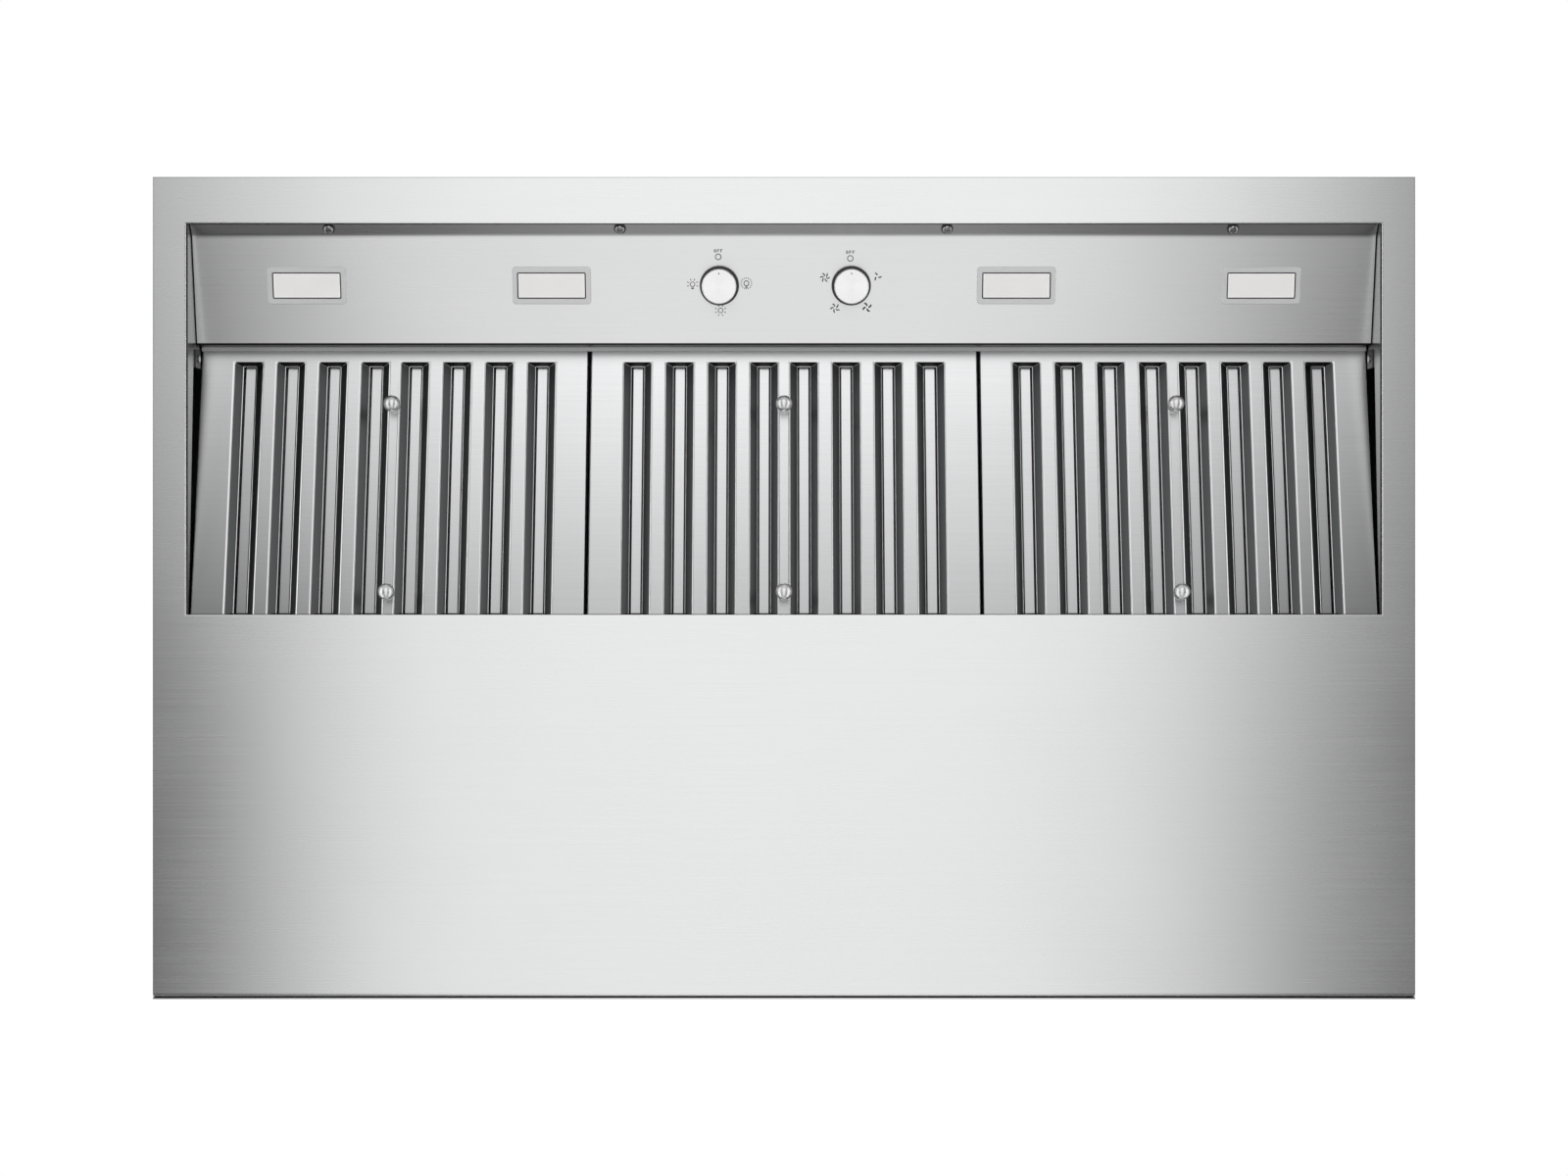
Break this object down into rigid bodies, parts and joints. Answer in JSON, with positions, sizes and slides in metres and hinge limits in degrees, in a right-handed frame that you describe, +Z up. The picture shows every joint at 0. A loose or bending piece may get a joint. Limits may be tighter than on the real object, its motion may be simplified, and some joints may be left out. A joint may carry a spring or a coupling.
{
  "type": "wall mount range hood",
  "caption": "Stainless steel canopy hood for a wall over a range, with lift-out slotted baffle filters, bar lamps, rotary knobs, a twin blower and a round top outlet.",
  "frame": {"origin": "middle of the lower edge of the hood's back, on the wall plane", "axes": "+X to the right as seen by the cook, +Y towards the wall, +Z up"},
  "size_m": [1.219, 0.794, 0.5316],
  "materials": {
    "body_steel": "brushed",
    "rail_steel": "satin",
    "filter_steel": "fine brushed",
    "filter_knob_steel": "polished",
    "knob_skirt": "satin black",
    "knob_cap": "spun satin",
    "lamp_lens": "frosted",
    "lamp_bezel": "satin",
    "led_module": "cast",
    "switch_plastic": "moulded",
    "dark_clip": "black",
    "galvanised_sheet": "galvanised",
    "impeller_metal": "plain",
    "motor_casing": "painted",
    "screw_steel": "plated",
    "gland_plastic": "moulded",
    "panel_print": "screen print"
  },
  "bodies": {
    "hood_body": {"back_panel": "body_steel", "blower_housing_left": "galvanised_sheet", "blower_housing_right": "galvanised_sheet", "blower_motor": "motor_casing", "bottom_panel": "body_steel", "cable_gland": "gland_plastic", "canopy_front": "body_steel", "canopy_slope": "body_steel", "canopy_top": "body_steel", "clip_screws": "dark_clip", "control_box": "galvanised_sheet", "control_panel": "body_steel", "corner_clip_left": "dark_clip", "corner_clip_right": "dark_clip", "damper_pin": "screw_steel", "duct_collar": "galvanised_sheet", "fan_switch_body": "switch_plastic", "filter_rail": "rail_steel", "front_rail": "rail_steel", "gusset_left": "body_steel", "gusset_right": "body_steel", "lamp_1_bezel": "lamp_bezel", "lamp_1_lens": "lamp_lens", "lamp_2_bezel": "lamp_bezel", "lamp_2_lens": "lamp_lens", "lamp_3_bezel": "lamp_bezel", "lamp_3_lens": "lamp_lens", "lamp_4_bezel": "lamp_bezel", "lamp_4_lens": "lamp_lens", "led_modules": "led_module", "light_switch_body": "switch_plastic", "outlet_plenum": "galvanised_sheet", "panel_screws": "screw_steel", "panel_washers": "screw_steel", "side_panel_left": "body_steel", "side_panel_right": "body_steel", "stop_ring": "galvanised_sheet"},
    "filter_left": {"filter_left_baffles": "filter_steel", "filter_left_frame": "filter_steel", "filter_left_front_plate": "filter_steel", "filter_left_knobs": "filter_knob_steel"},
    "filter_middle": {"filter_middle_baffles": "filter_steel", "filter_middle_frame": "filter_steel", "filter_middle_front_plate": "filter_steel", "filter_middle_knobs": "filter_knob_steel"},
    "filter_right": {"filter_right_baffles": "filter_steel", "filter_right_frame": "filter_steel", "filter_right_front_plate": "filter_steel", "filter_right_knobs": "filter_knob_steel"},
    "light_knob": {"light_knob_cap": "knob_cap", "light_knob_skirt": "knob_skirt", "light_switch_shaft": "screw_steel"},
    "fan_knob": {"fan_knob_cap": "knob_cap", "fan_knob_skirt": "knob_skirt", "fan_switch_shaft": "screw_steel"},
    "blower_rotor": {"blower_shaft": "screw_steel", "impeller_left": "impeller_metal", "impeller_right": "impeller_metal"},
    "damper_flap_front": {"damper_flap_front": "galvanised_sheet"},
    "damper_flap_rear": {"damper_flap_rear": "galvanised_sheet"}
  },
  "joints": [
    {"name": "filter_left_lift", "type": "slide", "parent": "hood_body", "child": "filter_left", "axis": [0, 0.1822, 0.9833], "range_m": [0, 0.06]},
    {"name": "filter_middle_lift", "type": "slide", "parent": "hood_body", "child": "filter_middle", "axis": [0, 0.1822, 0.9833], "range_m": [0, 0.06]},
    {"name": "filter_right_lift", "type": "slide", "parent": "hood_body", "child": "filter_right", "axis": [0, 0.1822, 0.9833], "range_m": [0, 0.06]},
    {"name": "light_knob_turn", "type": "hinge", "parent": "hood_body", "child": "light_knob", "pos_m": [-0.063, -0.69195, 0.0224], "axis": [0, -0.1908, 0.9816], "range_deg": [0, 270]},
    {"name": "fan_knob_turn", "type": "hinge", "parent": "hood_body", "child": "fan_knob", "pos_m": [0.0655, -0.69195, 0.0224], "axis": [0, -0.1908, 0.9816], "range_deg": [0, 288]},
    {"name": "blower_spin", "type": "hinge", "parent": "hood_body", "child": "blower_rotor", "pos_m": [0, -0.195, 0.255], "axis": [1, 0, 0], "continuous": true},
    {"name": "damper_front_open", "type": "hinge", "parent": "hood_body", "child": "damper_flap_front", "pos_m": [0, -0.195, 0.484], "axis": [-1, 0, 0], "range_deg": [0, 80]},
    {"name": "damper_rear_open", "type": "hinge", "parent": "hood_body", "child": "damper_flap_rear", "pos_m": [0, -0.195, 0.484], "axis": [1, 0, 0], "range_deg": [0, 80]}
  ]
}
